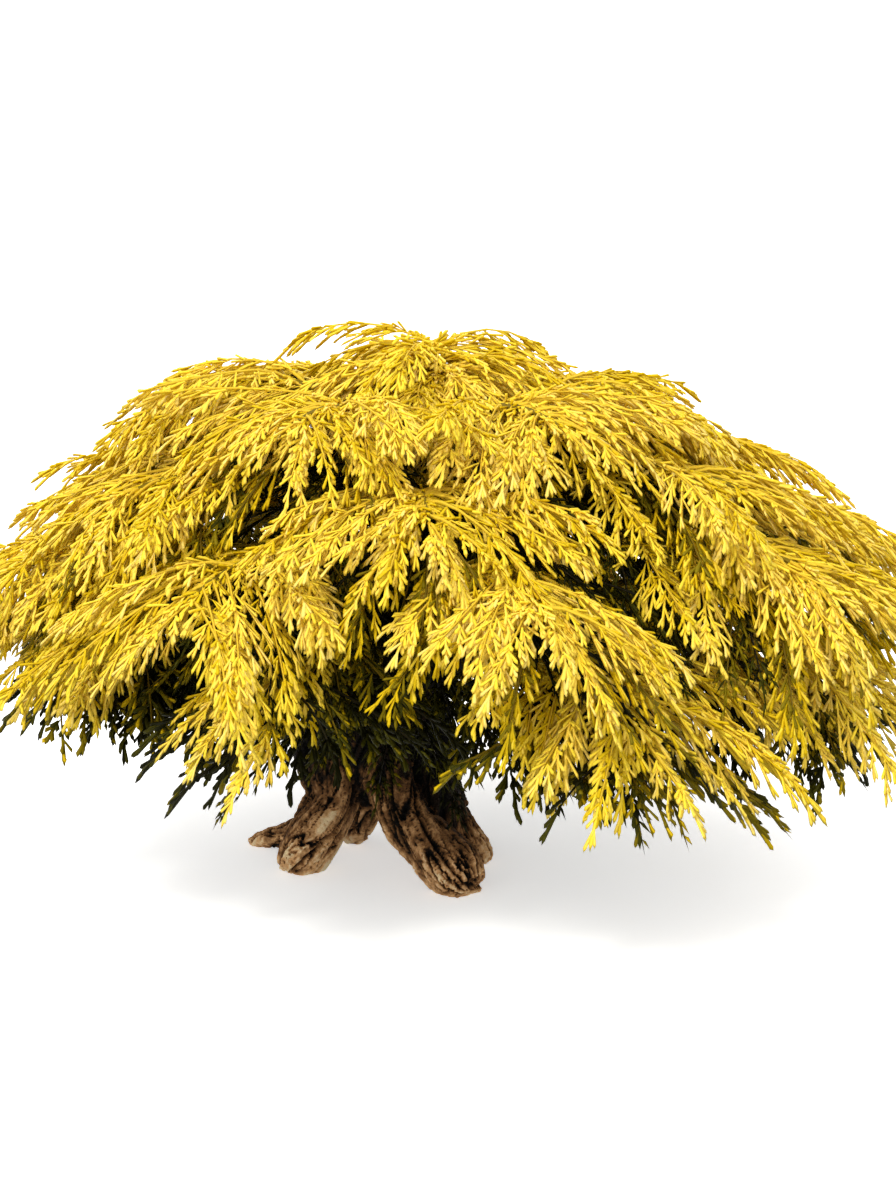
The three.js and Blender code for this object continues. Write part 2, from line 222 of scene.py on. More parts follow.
class Path:
    """A smooth curve through a limb's path, the same as the source's."""

    def __init__(self, path):
        self.points = [np.array(point, float) for point in path]
        first, last = self.points[0], self.points[-1]
        self.padded = [2 * first - self.points[1], *self.points, 2 * last - self.points[-2]]

    def at(self, share):
        place = min(max(share, 0.0), 1.0) * (len(self.points) - 1)
        index = min(int(place), len(self.points) - 2)
        p0, p1, p2, p3 = self.padded[index:index + 4]
        gaps = [max(np.linalg.norm(b - a) ** 0.5, 1e-4) for a, b in ((p0, p1), (p1, p2), (p2, p3))]
        m1 = ((p1 - p0) / gaps[0] - (p2 - p0) / (gaps[0] + gaps[1]) + (p2 - p1) / gaps[1]) * gaps[1]
        m2 = ((p2 - p1) / gaps[1] - (p3 - p1) / (gaps[1] + gaps[2]) + (p3 - p2) / gaps[2]) * gaps[1]
        t = place - index
        a = 2 * p1 - 2 * p2 + m1 + m2
        b = -3 * p1 + 3 * p2 - 2 * m1 - m2
        return ((a * t + b) * t + m1) * t + p1

    def along(self, share):
        return unit(self.at(min(share + 1e-3, 1)) - self.at(max(share - 1e-3, 0)))


def radius_on(radii, share):
    place = share * (len(radii) - 1)
    index = min(int(place), len(radii) - 2)
    return lerp(radii[index], radii[index + 1], place - index)


def leader_at(height):
    path = LEADER["path"]
    upper = max(1, next(i for i, point in enumerate(path) if point[2] > height))
    low, high = np.array(path[upper - 1], float), np.array(path[upper], float)
    return lerp(low, high, (height - low[2]) / (high[2] - low[2]))


def bough_curve(tier, azimuth, swerve, stagger):
    """One bough's whole curve, as in the source."""
    away = np.array([math.sin(azimuth), -math.cos(azimuth), 0])
    across = np.array([-away[1], away[0], 0])
    centre = np.array([tier["centre"], 0.0, 0.0])
    tip_height = tier["tip"] - tier["tilt"] * math.sin(azimuth)
    rise, droop = math.radians(tier["rise"]), math.radians(tier["droop"])
    foot = leader_at(tier["start"] + stagger)
    shoulder = lerp(foot, centre, 0.4) + away * tier["handle"] * math.cos(rise)
    shoulder[2] = foot[2] - 0.5 * stagger + tier["handle"] * math.sin(rise)
    tip = centre + away * tier["reach"]
    tip[2] = tip_height
    crest = tip - away * tier["hang"] * math.cos(droop) + across * swerve
    crest[2] = tip_height - tier["hang"] * math.sin(droop)
    return Bezier(foot, shoulder, crest, tip)


def hem_at(x, y):
    """How low foliage may hang at a place in the crown."""
    turn = (math.degrees(math.atan2(x, -y)) - HEM["parting"]) / HEM["width"]
    return HEM["height"] - HEM["tilt"] * x / TIERS[0]["reach"] + HEM["rise"] * math.exp(-turn * turn)


def linear(color):
    return [(c / 255 / 12.92) if c <= 10 else ((c / 255 + 0.055) / 1.055) ** 2.4 for c in color]


def material(name, color, roughness, gloss=0.5):
    """A plain material and its shader. color is in sRGB."""
    made = bpy.data.materials.new(name)
    made.use_nodes = True
    shader = made.node_tree.nodes["Principled BSDF"]
    shader.inputs["Base Color"].default_value = (*linear(color), 1)
    shader.inputs["Roughness"].default_value = roughness
    shader.inputs["Specular IOR Level"].default_value = gloss
    return made, shader


def mesh_object(name, points, faces, materials, tones=None):
    """An object of triangles from arrays of points in millimetres, faces and material numbers."""
    mesh = bpy.data.meshes.new(name)
    mesh.vertices.add(len(points))
    mesh.vertices.foreach_set("co", (points * MM).astype(np.float32).ravel())
    mesh.loops.add(faces.size)
    mesh.loops.foreach_set("vertex_index", faces.astype(np.int32).ravel())
    mesh.polygons.add(len(faces))
    mesh.polygons.foreach_set("loop_start", np.arange(0, faces.size, 3, dtype=np.int32))
    for each in materials:
        mesh.materials.append(each)
    if tones is not None:
        mesh.polygons.foreach_set("material_index", tones.astype(np.int32))
    mesh.polygons.foreach_set("use_smooth", np.ones(len(faces), bool))
    mesh.update(calc_edges=True)
    made = bpy.data.objects.new(name, mesh)
    bpy.context.scene.collection.objects.link(made)
    return made


# Branchlets. Each is a club-shaped shoot with shorter ones on both sides.


def club(start, heading, length, profile, size, shift):
    """A three-sided club with a pointed tip. Its root is a point too, or open where a ring stands at it.

    profile holds its rings, as (share of the length, radius). Each of the club's points is given as
    a place, in shares of the branchlet's length, and an offset, in radii. shift is how many tones
    lighter than its branchlet the club is.
    """
    heading = unit(np.array(heading, float))
    across = unit(np.cross([0, 0, 1.0], heading))
    lift = np.cross(heading, across)
    start = np.array(start, float)
    places, offsets, faces = [], [], []
    for share, radius in profile:
        for angle in CORNERS:
            places.append(start + heading * length * share)
            offsets.append((across * math.cos(angle) + lift * math.sin(angle)) * radius * size)
    last, tip, root = 3 * len(profile) - 3, len(places), len(places) + 1
    closed = profile[0][0] > 0
    places += [start + heading * length, start] if closed else [start + heading * length]
    offsets += [np.zeros(3)] * (2 if closed else 1)
    for j in range(3):
        k = (j + 1) % 3
        for ring in range(len(profile) - 1):
            a, b = 3 * ring + j, 3 * ring + k
            faces += [(a, b, b + 3), (a, b + 3, a + 3)]
        faces.append((last + j, last + k, tip))
        if closed:
            faces.append((root, k, j))
    return places, offsets, faces, [shift] * len(faces)


def branchlet_kind(rng, leafy):
    """A branchlet of unit length along x, nearly flat in the x-y plane, with its fingers."""
    if leafy:
        parts = [club((0, 0, 0), (1, 0, 0), 1, [(0.3, 0.6), (0.9, 0.9)], 1, 0)]
        profile, width = [(0, 0.6), (0.85, 1.0)], (0.72, 1.0)
    else:
        parts = [club((0, 0, 0), (1, 0, 0), 1, [(0.4, 0.7)], 1, 0)]
        profile, width = [(0.4, 1.0)], (0.5, 0.8)
    hand = 1 if rng.random() < 0.5 else -1
    for place in np.arange(0.12, 0.86, 0.15):
        x = place + rng.uniform(-0.07, 0.07)
        angle = math.radians(rng.uniform(10, 32) - 4 * x)
        heading = (math.cos(angle), hand * math.sin(angle), rng.uniform(-0.42, 0.14))
        length = (0.43 - 0.22 * x) * rng.uniform(0.65, 1.25)
        # Fingers near the base are a tone darker and outer ones often a tone lighter: partly paler new
        # growth, partly painted shade at the base and painted highlight at the tips.
        shift = -1 if x < 0.3 else int(rng.random() < x - 0.2)
        parts.append(club((x, 0, 0), heading, length, profile, rng.uniform(*width), shift))
        hand = -hand
    places, offsets, faces, shifts = [], [], [], []
    for part in parts:
        faces += [tuple(len(places) + i for i in face) for face in part[2]]
        places += part[0]
        offsets += part[1]
        shifts += part[3]
    return np.array(places), np.array(offsets), np.array(faces), np.array(shifts)


class Gathered:
    """Triangles gathered for one piece: points in millimetres, faces and tones."""

    def __init__(self):
        self.points, self.faces, self.tones = [], [], []
        self.count = 0

    def add(self, points, faces, tones):
        self.points.append(points)
        self.faces.append(faces + self.count)
        self.tones.append(tones)
        self.count += len(points)

    def arrays(self):
        return np.concatenate(self.points), np.concatenate(self.faces), np.concatenate(self.tones)


class Twigs(Gathered):
    def shoot(self, points, radii, tone):
        """A three-sided shoot through points."""
        points = np.array(points)
        tangents = np.gradient(points, axis=0)
        rows = []
        for point, tangent, radius in zip(points, tangents, radii):
            _, side, lift = frame_of(tangent)
            for angle in CORNERS:
                rows.append(point + (side * math.cos(angle) + lift * math.sin(angle)) * radius)
        faces = []
        for i in range(len(points) - 1):
            for j in range(3):
                a, b = 3 * i + j, 3 * i + (j + 1) % 3
                faces += [(a, b + 3, b), (a, a + 3, b + 3)]
        self.add(np.array(rows), np.array(faces), np.full(len(faces), tone))


class Foliage(Gathered):
    """The branchlets of one piece, and the sprays that carry them."""

    def __init__(self, rng, twigs):
        super().__init__()
        self.rng = rng
        self.twigs = twigs
        self.radius = FINGER_RADIUS
        self.spacing = BRANCHLET_SPACING
        self.leafy = True
        self.branchlets = []

    def branchlet(self, point, along, side, length, droop, tone):
        along = unit(along)
        side = unit(side - along * np.dot(side, along))
        kind = int(self.rng.integers(LEAFY_KINDS if self.leafy else BARE_KINDS))
        kind += 0 if self.leafy else LEAFY_KINDS
        radius = self.radius * self.rng.uniform(0.85, 1.15)
        lift = np.cross(along, side)
        self.branchlets.append((kind, point, along, side, lift, length, droop, tone, radius))

    def clothe(self, path, start, end, lengths, spread, droop, tone, spacing=None, crest=0.0):
        """Sets branchlets on alternate sides along a path, and some on its crest.

        spread is their angle to the path, in degrees, and lengths(x) is their length at a share of it.
        """
        ends = path.at(start), path.at(end)
        steps = max(2, int(np.linalg.norm(ends[1] - ends[0]) / (spacing or self.spacing)))
        hand = 1 if self.rng.random() < 0.5 else -1
        for i in range(steps):
            x = lerp(start, end, (i + self.rng.uniform(0, 0.6)) / steps)
            along, side, lift = frame_of(path.along(x))
            angle = math.radians(spread + self.rng.uniform(-8, 8))
            heading = along * math.cos(angle) + side * hand * math.sin(angle)
            heading = unit(heading + lift * self.rng.uniform(-0.12, 0.18) - UP * droop * 0.3)
            length = lengths(x) * self.rng.uniform(0.8, 1.15)
            roll = math.radians(self.rng.uniform(-35, 35))
            flat = side * math.cos(angle) - along * hand * math.sin(angle)
            flat = flat * math.cos(roll) + lift * math.sin(roll)
            self.branchlet(path.at(x), heading, flat, length, droop, tone)
            if self.rng.random() < crest:
                heading = along + lift * self.rng.uniform(0.1, 0.4) + side * self.rng.uniform(-0.3, 0.3)
                self.branchlet(path.at(x), heading, side, length * 0.85, droop * 1.2, tone)
            hand = -hand

    def spray(self, point, heading, length, hang, tone, droop=0.42):
        """A spray of branchlets on a shoot that hangs over. hang is its fall, in shares of its length."""
        sway = self.rng.uniform(-0.12, 0.12)
        along, side, _ = frame_of(heading)
        tip = point + along * length - UP * hang * length + side * sway * length
        path = Bezier(point, point + along * 0.5 * length, tip)
        # A spray in a darker tone, painted as shade, gets darker wood as well.
        wood = DARK_WOOD if tone < OLIVE else OLIVE_WOOD if tone < GOLD else GOLD_WOOD
        self.twigs.shoot([path.at(s) for s in np.linspace(0, 0.94, 5)], [0.8, 0.7, 0.65, 0.6, 0.5], wood)
        widest = min(0.48 * length, WIDEST_BRANCHLET)
        crest = 0.2 if tone >= GOLD else 0.0
        self.clothe(path, 0.04, 0.93, lambda x: widest * (1.12 - 0.55 * x), 25, droop, tone, crest=crest)
        end = path.along(1)
        self.branchlet(path.at(0.86), end, frame_of(end)[1], 22, 0.3, tone)

    def finish(self):
        """Makes the collected branchlets, and gives all points, faces and tones."""
        for kind, (places, offsets, faces, shifts) in enumerate(KINDS):
            chosen = [b for b in self.branchlets if b[0] == kind]
            if not chosen:
                continue
            origin, along, side, lift = (np.array([b[i] for b in chosen]) for i in (1, 2, 3, 4))
            length, droop, tone, radius = (np.array([b[i] for b in chosen], float) for i in (5, 6, 7, 8))
            basis = np.stack([along, side, lift], axis=1)
            points = origin[:, None, :] + np.einsum("vk,nkj->nvj", places, basis) * length[:, None, None]
            points = points + np.einsum("vk,nkj->nvj", offsets, basis) * radius[:, None, None]
            points[:, :, 2] -= (droop * length)[:, None] * places[None, :, 0] ** 2
            all_faces = faces[None] + (np.arange(len(chosen)) * len(places))[:, None, None]
            all_tones = np.clip(tone[:, None] + shifts[None], 0, len(TONES) - 1)
            self.add(points.reshape(-1, 3), all_faces.reshape(-1, 3), all_tones.reshape(-1))
        return self.arrays()


def twig(root, heading, reach):
    """A twig's curve, as in the source: it arches a little."""
    middle = root + heading * 0.5 * reach + UP * TWIG_ARCH * reach
    end = root + heading * reach - UP * TWIG_ARCH * reach
    return Bezier(root, middle, end)


def fits(tier, point, margin, leeway=8):
    """Whether a spray's tip keeps to its tier's reach and over the crown's hem."""
    reach = math.hypot(point[0] - tier["centre"], point[1])
    left = min(max((point[0] - LEFT_FROM) / (LEFT_TO - LEFT_FROM), 0), 1)
    lowest = hem_at(point[0], point[1]) + margin + LEFT_LIFT * left
    return reach < tier["reach"] + leeway and point[2] > lowest


def spray_tip(curve, length, hang):
    return curve.at(1) + curve.along(1) * length - UP * hang * length


def own_twigs(tier, curve, seed):
    """The source's own twigs on a plume's stem: root, heading, reach and length of spray."""
    vary = seeded_between(seed)
    for i in range(TWIGS_PER_PLUME):
        inward = (i + vary(0, 0.4)) / (TWIGS_PER_PLUME - 0.5)
        share = lerp(STEM_SHARE - 0.04, tier["bare"] + 0.05, inward)
        hand = 1 if i % 2 else -1
        along, side, _ = frame_of(curve.along(share))
        spread = math.radians(vary(44, 58) - 14 * share)
        heading = along * math.cos(spread) + side * hand * math.sin(spread)
        heading[2] += vary(0, 0.24)
        length = SPRAY_LENGTH * lerp(0.72, 1, inward) * vary(0.9, 1.05)
        yield curve.at(share), unit(heading), vary(12, 40), length


def finer_twigs(tier, curve, rng):
    """Finer twigs between the source's own ones."""
    for i in range(FINE_TWIGS):
        share = lerp(STEM_SHARE, tier["bare"] - 0.08, (i + rng.uniform(0, 1)) / FINE_TWIGS)
        hand = 1 if i % 2 else -1
        along, side, _ = frame_of(curve.along(share))
        spread = math.radians(rng.uniform(8, 54))
        heading = along * math.cos(spread) + side * hand * math.sin(spread)
        heading[2] += rng.uniform(*FINE_RISE[tier["name"]])
        yield curve.at(share), unit(heading), rng.uniform(8, 44), rng.uniform(42, 66)


def fill_plume(foliage, tier, curve, seed, rng):
    """A plume: its stem, twigs and sprays, with sprays in duller and darker tones painted as shade under
    the bright ones.
    """
    stem = [curve.at(s) for s in np.linspace(tier["bare"] - 0.1, STEM_SHARE, 9)]
    foliage.twigs.shoot(stem, np.linspace(BOUGH_TIP_RADIUS, STEM_TIP_RADIUS, 9), OLIVE_WOOD)
    foliage.clothe(curve, tier["bare"] - 0.1, STEM_SHARE, lambda x: 26 - 9 * x, 44, 0.4, GOLD, 4.0, 0.5)
    last = np.linalg.norm(curve.at(1) - curve.at(STEM_SHARE))
    foliage.spray(curve.at(STEM_SHARE), curve.along(STEM_SHARE), 0.85 * last, 0.04, YELLOW)

    twigs = [*own_twigs(tier, curve, seed), *finer_twigs(tier, curve, rng)]
    # Below the upper tier, sprays inside the crown take duller tones: partly their own greener colour,
    # partly painted shade from the tiers above.
    shaded = 0 if tier["name"] == "upper" else SHADED_REACH * tier["reach"]
    for root, heading, reach, length in twigs:
        bright = shaded_tone = YELLOW if rng.random() < YELLOW_SHARE else GOLD
        if math.hypot(root[0] - tier["centre"], root[1]) < shaded:
            shaded_tone = int(rng.choice(SHADED_TONES))
        for size in (1, 0.85, 0.72, 0.55):
            path = twig(root, heading, reach * size)
            hang = rng.uniform(0.04, 0.26)
            tip = spray_tip(path, length * size, hang)
            if fits(tier, tip, BRIGHT_MARGIN):
                inside = math.hypot(tip[0] - tier["centre"], tip[1]) < SHADED_END_REACH * tier["reach"]
                tone = shaded_tone if inside else bright
                foliage.twigs.shoot([path.at(s) for s in (0, 0.5, 1)], [1.1, 0.95, 0.8], GOLD_WOOD)
                foliage.spray(path.at(1), path.along(1), length * size, hang, tone)
                if reach > 20:
                    foliage.clothe(path, 0.2, 1, lambda x: 22, 38, 0.35, tone, 4.6, 0.25)
                break
        # Some twigs get a second spray lower down in darker tones, painted as the shade under the bright
        # spray.
        if rng.random() < UNDER_SHARE:
            under = root - UP * rng.uniform(6, 14)
            swing = math.radians(rng.uniform(-28, 28))
            across = np.array([-heading[1], heading[0], 0])
            turned = unit(heading * math.cos(swing) + across * math.sin(swing) - UP * 0.12)
            for size in (0.95, 0.8, 0.6):
                path = twig(under, turned, reach * size)
                hang = rng.uniform(0.2, 0.42)
                if fits(tier, spray_tip(path, length * size, hang), UNDER_MARGIN):
                    tone = int(rng.choice(UNDER_SHADE_TONES))
                    if tier["name"] != "skirt" and math.hypot(*path.at(1)[:2]) > RIM_REACH * tier["reach"]:
                        tone = DEEP_GOLD
                    foliage.leafy = tone > GREEN
                    foliage.spray(path.at(1), path.along(1), length * size, hang, tone)
                    foliage.leafy = True
                    break


def fill_top(foliage, rng):
    """The top plume: the source's spiral of twigs, and finer ones between them."""
    vary = seeded_between(SEED)
    foot = np.array(LEADER["path"][-1], float)
    twigs = []
    for i in range(TOP["twigs"]):
        height = (i + 0.5) / TOP["twigs"]
        azimuth = math.radians(TOP["azimuth"] + i * TOP["turn"])
        rise = math.radians(lerp(TOP["low_rise"], TOP["high_rise"], height))
        twigs.append((height, azimuth, rise, vary(4, 8), TOP["spray"] * vary(0.88, 1), TOP["hang"]))
    for height, azimuth, rise, _, length, hang in twigs[:]:
        for lower in (0.15, 0.4, 0.6, 0.8):
            turned = azimuth + math.radians(rng.uniform(-22, 22))
            flatter = rise * (1 - 1.5 * lower)
            twigs.append((height - lower, turned, flatter, rng.uniform(4, 16), 0.85 * length, hang))
    for i in range(LOOSE_TOP_TWIGS):
        rise = math.radians(rng.uniform(0, 34))
        azimuth = math.radians(i * GOLDEN_TURN + rng.uniform(-15, 15))
        length = rng.uniform(44, 66)
        height = rng.uniform(-0.4, 0.7)
        twigs.append((height, azimuth, rise, rng.uniform(4, 20), length, rng.uniform(0.2, 0.42)))
    for height, azimuth, rise, reach, length, hang in twigs:
        level = math.cos(rise)
        heading = np.array([level * math.sin(azimuth), -level * math.cos(azimuth), math.sin(rise)])
        root = foot + UP * TOP["lift"] * height
        path = twig(root, heading, reach)
        tone = YELLOW if rng.random() < YELLOW_SHARE else GOLD
        foliage.twigs.shoot([path.at(s) for s in (0, 0.5, 1)], [1.4, 1.2, 0.9], GOLD_WOOD)
        foliage.spray(path.at(1), path.along(1), length, hang, tone)
        foliage.clothe(path, 0, 1, lambda x: 24, 34, 0.4, tone, 4.0, 0.6)


def fill_inside(foliage, tier, curve, rng, number, shares, margin, hang):
    """Dark growth along a bough, inside the crown and down to its hem, its near-black tones painted shade.
    """
    for i in range(number):
        share = rng.uniform(*shares)
        along, side, _ = frame_of(curve.along(share))
        swing = math.radians(rng.uniform(-75, 75))
        level = along * math.cos(swing) + side * math.sin(swing)
        level[2] = rng.uniform(-0.35, 0.1)
        length = rng.uniform(44, 74)
        tone = int(rng.choice(DARK_SHADE_TONES))
        for size in (1, 0.8, 0.6):
            path = twig(curve.at(share) - UP * rng.uniform(2, 16), unit(level), 14 * size)
            fall = rng.uniform(*hang)
            if fits(tier, spray_tip(path, length * size, fall), margin, -30):
                foliage.spray(path.at(1), path.along(1), length * size, fall, tone, 0.2)
                break


def fill_core(foliage, rng):
    """Dark growth round the leader, which closes the middle of the crown with near-black tones as painted
    shade.
    """
    for i in range(CORE_SPRAYS):
        height = lerp(CORE_FROM, CORE_TO, (i + rng.uniform(0, 1)) / CORE_SPRAYS)
        azimuth = math.radians(i * GOLDEN_TURN)
        heading = np.array([math.sin(azimuth), -math.cos(azimuth), rng.uniform(-0.3, 0.5)])
        length = rng.uniform(64, 106)
        hang = rng.uniform(0.1, 0.4)
        tone = int(rng.integers(DEEP_GREEN, OLIVE))
        foliage.spray(leader_at(height), unit(heading), length, hang, tone, 0.2)


# Bark.


def limb_mesh(path, radius_at, sides, rings, start=0.0, end=1.0, reference=BACK):
    """A closed limb along a path, with its ends capped by fans."""
    points = []
    for ring in range(rings + 1):
        share = lerp(start, end, ring / rings)
        _, side, lift = frame_of(path.along(share), reference)
        centre = path.at(share)
        for j in range(sides):
            angle = 2 * math.pi * j / sides
            out = side * math.cos(angle) + lift * math.sin(angle)
            points.append(centre + out * radius_at(share, angle))
    faces = []
    for ring in range(rings):
        for j in range(sides):
            a, b = ring * sides + j, ring * sides + (j + 1) % sides
            faces += [(a, b + sides, b), (a, a + sides, b + sides)]
    points += [path.at(start), path.at(end)]
    first, last = len(points) - 2, len(points) - 1
    for j in range(sides):
        k = (j + 1) % sides
        faces += [(first, j, k), (last, rings * sides + k, rings * sides + j)]
    return np.array(points), np.array(faces)


def trunk_limbs():
    """Each limb of the trunk: its path, and its radius at a share and an angle."""
    def leader_radius(share, angle):
        oval = LEADER["flatness"] * (1 - share) * math.cos(2 * angle)
        ribs = LEADER["ribs"] * math.cos(3 * angle + 9 * share)
        return radius_on(LEADER["radii"], share) * (1 + oval + ribs)

    def root_radius(radii):
        def radius(share, angle):
            past_toe = max(0, (share - TOE_SHARE) / (1 - TOE_SHARE))
            blunt = math.sqrt(1 - 0.72 * past_toe ** 2)
            ribs = ROOT_RIBS * math.cos(3 * angle + 6 * share)
            return radius_on(radii, share) * blunt * (1 + ribs)

        return radius

    yield Path(LEADER["path"]), leader_radius
    for root in ROOTS:
        yield Path(root["path"]), root_radius(root["radii"])


def bough_limbs(curves):
    def bough_radius(tier, phase):
        def radius(share, angle):
            plain = lerp(tier["radius"], BOUGH_TIP_RADIUS, share / tier["bare"])
            ribs = 0.1 * math.sin(3 * angle + 9 * share + phase) + 0.07 * math.sin(5 * angle - 20 * share)
            return plain * (1 + ribs)

        return radius

    for phase, (tier, curve) in enumerate(curves):
        yield curve, bough_radius(tier, phase), tier["bare"]


def limb_samples(limbs):
    """Samples along all limbs: centre, three directions, radius, travel from its foot, and owner."""
    samples = []
    for owner, (path, radius_at, end) in enumerate(limbs):
        travel = 0
        before = path.at(0)
        for share in np.linspace(0, end, 48):
            centre = path.at(share)
            travel += np.linalg.norm(centre - before)
            before = centre
            directions = frame_of(path.along(share), BACK)
            samples.append((centre, *directions, radius_at(share, 0.7), travel, owner))
    return [np.array(column) for column in zip(*samples)]


def bark_at(place):
    """The bark's relief and shade at a place in the noise: knobs, narrow cracks and broad grooves."""
    broad = Vector((place.x, place.y, place.z * 0.5)) * 0.5 - CRACK_SHIFT
    place = place + noise.noise_vector(place * 2.7) * 0.16
    knobs = noise.noise(place) + 0.5 * noise.noise(place * 2.6) + 0.3 * noise.noise(place * 6.5)
    crack = max(0.0, 1 - abs(noise.noise(place * 0.9 + CRACK_SHIFT)) / BARK["crack"])
    fissure = max(0.0, 1 - abs(noise.noise(place * 2.1)) / BARK["crack"])
    across = Vector((place.x, place.y, place.z * 2.6)) * 1.3
    cross = max(0.0, 1 - abs(noise.noise(across)) / BARK["crack"])
    cracks = 1.5 * crack ** 2 + 0.7 * fissure ** 2 + 0.35 * cross ** 2
    groove = max(0.0, 1 - abs(noise.noise(broad)) / BARK["groove"]) ** 2
    relief = min(1, 0.3 + 0.75 * knobs - cracks) - 1.5 * groove
    # Painted highlight on the raised knobs, and painted shade in the cracks and grooves, which are also
    # darker bark.
    return relief, 0.66 + 0.2 * knobs - 0.5 * cracks - 0.3 * groove


def bark_relief(points, limbs):
    """The bark's relief and shade at each point, along the grain of the nearest limb."""
    centres, alongs, sides, lifts, radii, travels, owners = limb_samples(limbs)
    relief, shade = np.empty(len(points)), np.empty(len(points))
    for start in range(0, len(points), 4000):
        part = points[start:start + 4000]
        apart = np.linalg.norm(part[:, None] - centres[None], axis=2) - radii
        nearest = apart.argmin(1)
        away = part - centres[nearest]
        travel = travels[nearest] + (away * alongs[nearest]).sum(1)
        angle = np.arctan2((away * lifts[nearest]).sum(1), (away * sides[nearest]).sum(1)) + 0.012 * travel
        round_limb = radii[nearest] / BARK["across"]
        x, y = np.cos(angle) * round_limb, np.sin(angle) * round_limb
        z = travel / BARK["lengthwise"] + 7.3 * owners[nearest]
        for i, place in enumerate(zip(x.tolist(), y.tolist(), z.tolist())):
            relief[start + i], shade[start + i] = bark_at(Vector(place))
    # Painted shade: the bark is darker under the crown, where its shadow falls, and in the recess on the
    # trunk's right.
    under = np.clip((points[:, 2] - 12) / 52, 0, 1)
    recess = np.clip((points[:, 0] + 18) / 22, 0, 1) * np.clip((points[:, 2] - 14) / 24, 0, 1)
    shade -= 0.36 * under + 0.24 * recess
    return np.clip(relief, -2, 1), np.clip(shade, 0, 1)


def set_relief(mesh, limbs, depth):
    """Raises the bark's relief on a mesh, and keeps its shade as an attribute for the bark's colours."""
    number = len(mesh.vertices)
    co, normal = np.zeros(number * 3, np.float32), np.zeros(number * 3, np.float32)
    mesh.vertices.foreach_get("co", co)
    mesh.vertices.foreach_get("normal", normal)
    co, normal = co.reshape(-1, 3), normal.reshape(-1, 3)
    relief, shade = bark_relief(co / MM, limbs)
    co = co + normal * (relief * depth * MM)[:, None]
    co[:, 2] = np.maximum(co[:, 2], 0)
    mesh.vertices.foreach_set("co", co.astype(np.float32).ravel())
    kept = mesh.attributes.new("shade", "FLOAT", "POINT")
    kept.data.foreach_set("value", shade.astype(np.float32))
    mesh.update()


def joined(parts):
    """Several meshes' points and faces as one."""
    points, faces, count = [], [], 0
    for part_points, part_faces in parts:
        points.append(part_points)
        faces.append(part_faces + count)
        count += len(part_points)
    return np.concatenate(points), np.concatenate(faces)


def noise_node(nodes, scale, detail, roughness=0.6):
    made = nodes.new("ShaderNodeTexNoise")
    made.inputs["Scale"].default_value = scale
    made.inputs["Detail"].default_value = detail
    made.inputs["Roughness"].default_value = roughness
    return made


def leaf_material(name, color, gloss):
    """One colour of leaf or twig, with a fine scaly relief and an uneven, waxy gloss."""
    made, shader = material(name, color, 0.55, gloss)
    nodes, links = made.node_tree.nodes, made.node_tree.links
    place = nodes.new("ShaderNodeTexCoord")
    scales = nodes.new("ShaderNodeTexVoronoi")
    scales.inputs["Scale"].default_value = 620
    links.new(place.outputs["Object"], scales.inputs["Vector"])
    bump = nodes.new("ShaderNodeBump")
    bump.inputs["Strength"].default_value = 0.5
    bump.inputs["Distance"].default_value = 0.0004
    links.new(scales.outputs["Distance"], bump.inputs["Height"])
    links.new(bump.outputs["Normal"], shader.inputs["Normal"])
    wax = noise_node(nodes, 260, 3)
    links.new(place.outputs["Object"], wax.inputs["Vector"])
    rough = nodes.new("ShaderNodeMapRange")
    rough.inputs["To Min"].default_value = 0.4
    rough.inputs["To Max"].default_value = 0.72
    links.new(wax.outputs["Fac"], rough.inputs["Value"])
    links.new(rough.outputs["Result"], shader.inputs["Roughness"])
    return made


def bark_material():
    """Tan bark with a fine fibrous grain, its cracks dark, partly their own colour and partly painted
    shade, and painted shade under the crown.
    """
    made, shader = material("bark", (150, 112, 80), 0.85, 0.15)
    nodes, links = made.node_tree.nodes, made.node_tree.links
    shade = nodes.new("ShaderNodeAttribute")
    shade.attribute_name = "shade"
    place = nodes.new("ShaderNodeTexCoord")
    blotches = noise_node(nodes, 160, 8, 0.7)
    links.new(place.outputs["Object"], blotches.inputs["Vector"])
    mixed = nodes.new("ShaderNodeMath")
    mixed.operation = "MULTIPLY_ADD"
    mixed.inputs[1].default_value = 0.8
    links.new(blotches.outputs["Fac"], mixed.inputs[0])
    links.new(shade.outputs["Fac"], mixed.inputs[2])
    range_node = nodes.new("ShaderNodeMapRange")
    range_node.inputs["From Min"].default_value = 0.58
    range_node.inputs["From Max"].default_value = 1.18
    links.new(mixed.outputs[0], range_node.inputs["Value"])
    ramp = nodes.new("ShaderNodeValToRGB")
    for position, _ in BARK_COLORS[1:-1]:
        ramp.color_ramp.elements.new(position)
    for stop, (position, color) in zip(ramp.color_ramp.elements, BARK_COLORS):
        stop.position = position
        stop.color = (*linear(color), 1)
    links.new(range_node.outputs["Result"], ramp.inputs["Fac"])
    links.new(ramp.outputs["Color"], shader.inputs["Base Color"])
    fine = noise_node(nodes, 650, 6)
    links.new(place.outputs["Object"], fine.inputs["Vector"])
    bump = nodes.new("ShaderNodeBump")
    bump.inputs["Strength"].default_value = 1.0
    bump.inputs["Distance"].default_value = 0.0016
    links.new(fine.outputs["Fac"], bump.inputs["Height"])
    links.new(bump.outputs["Normal"], shader.inputs["Normal"])
    return made


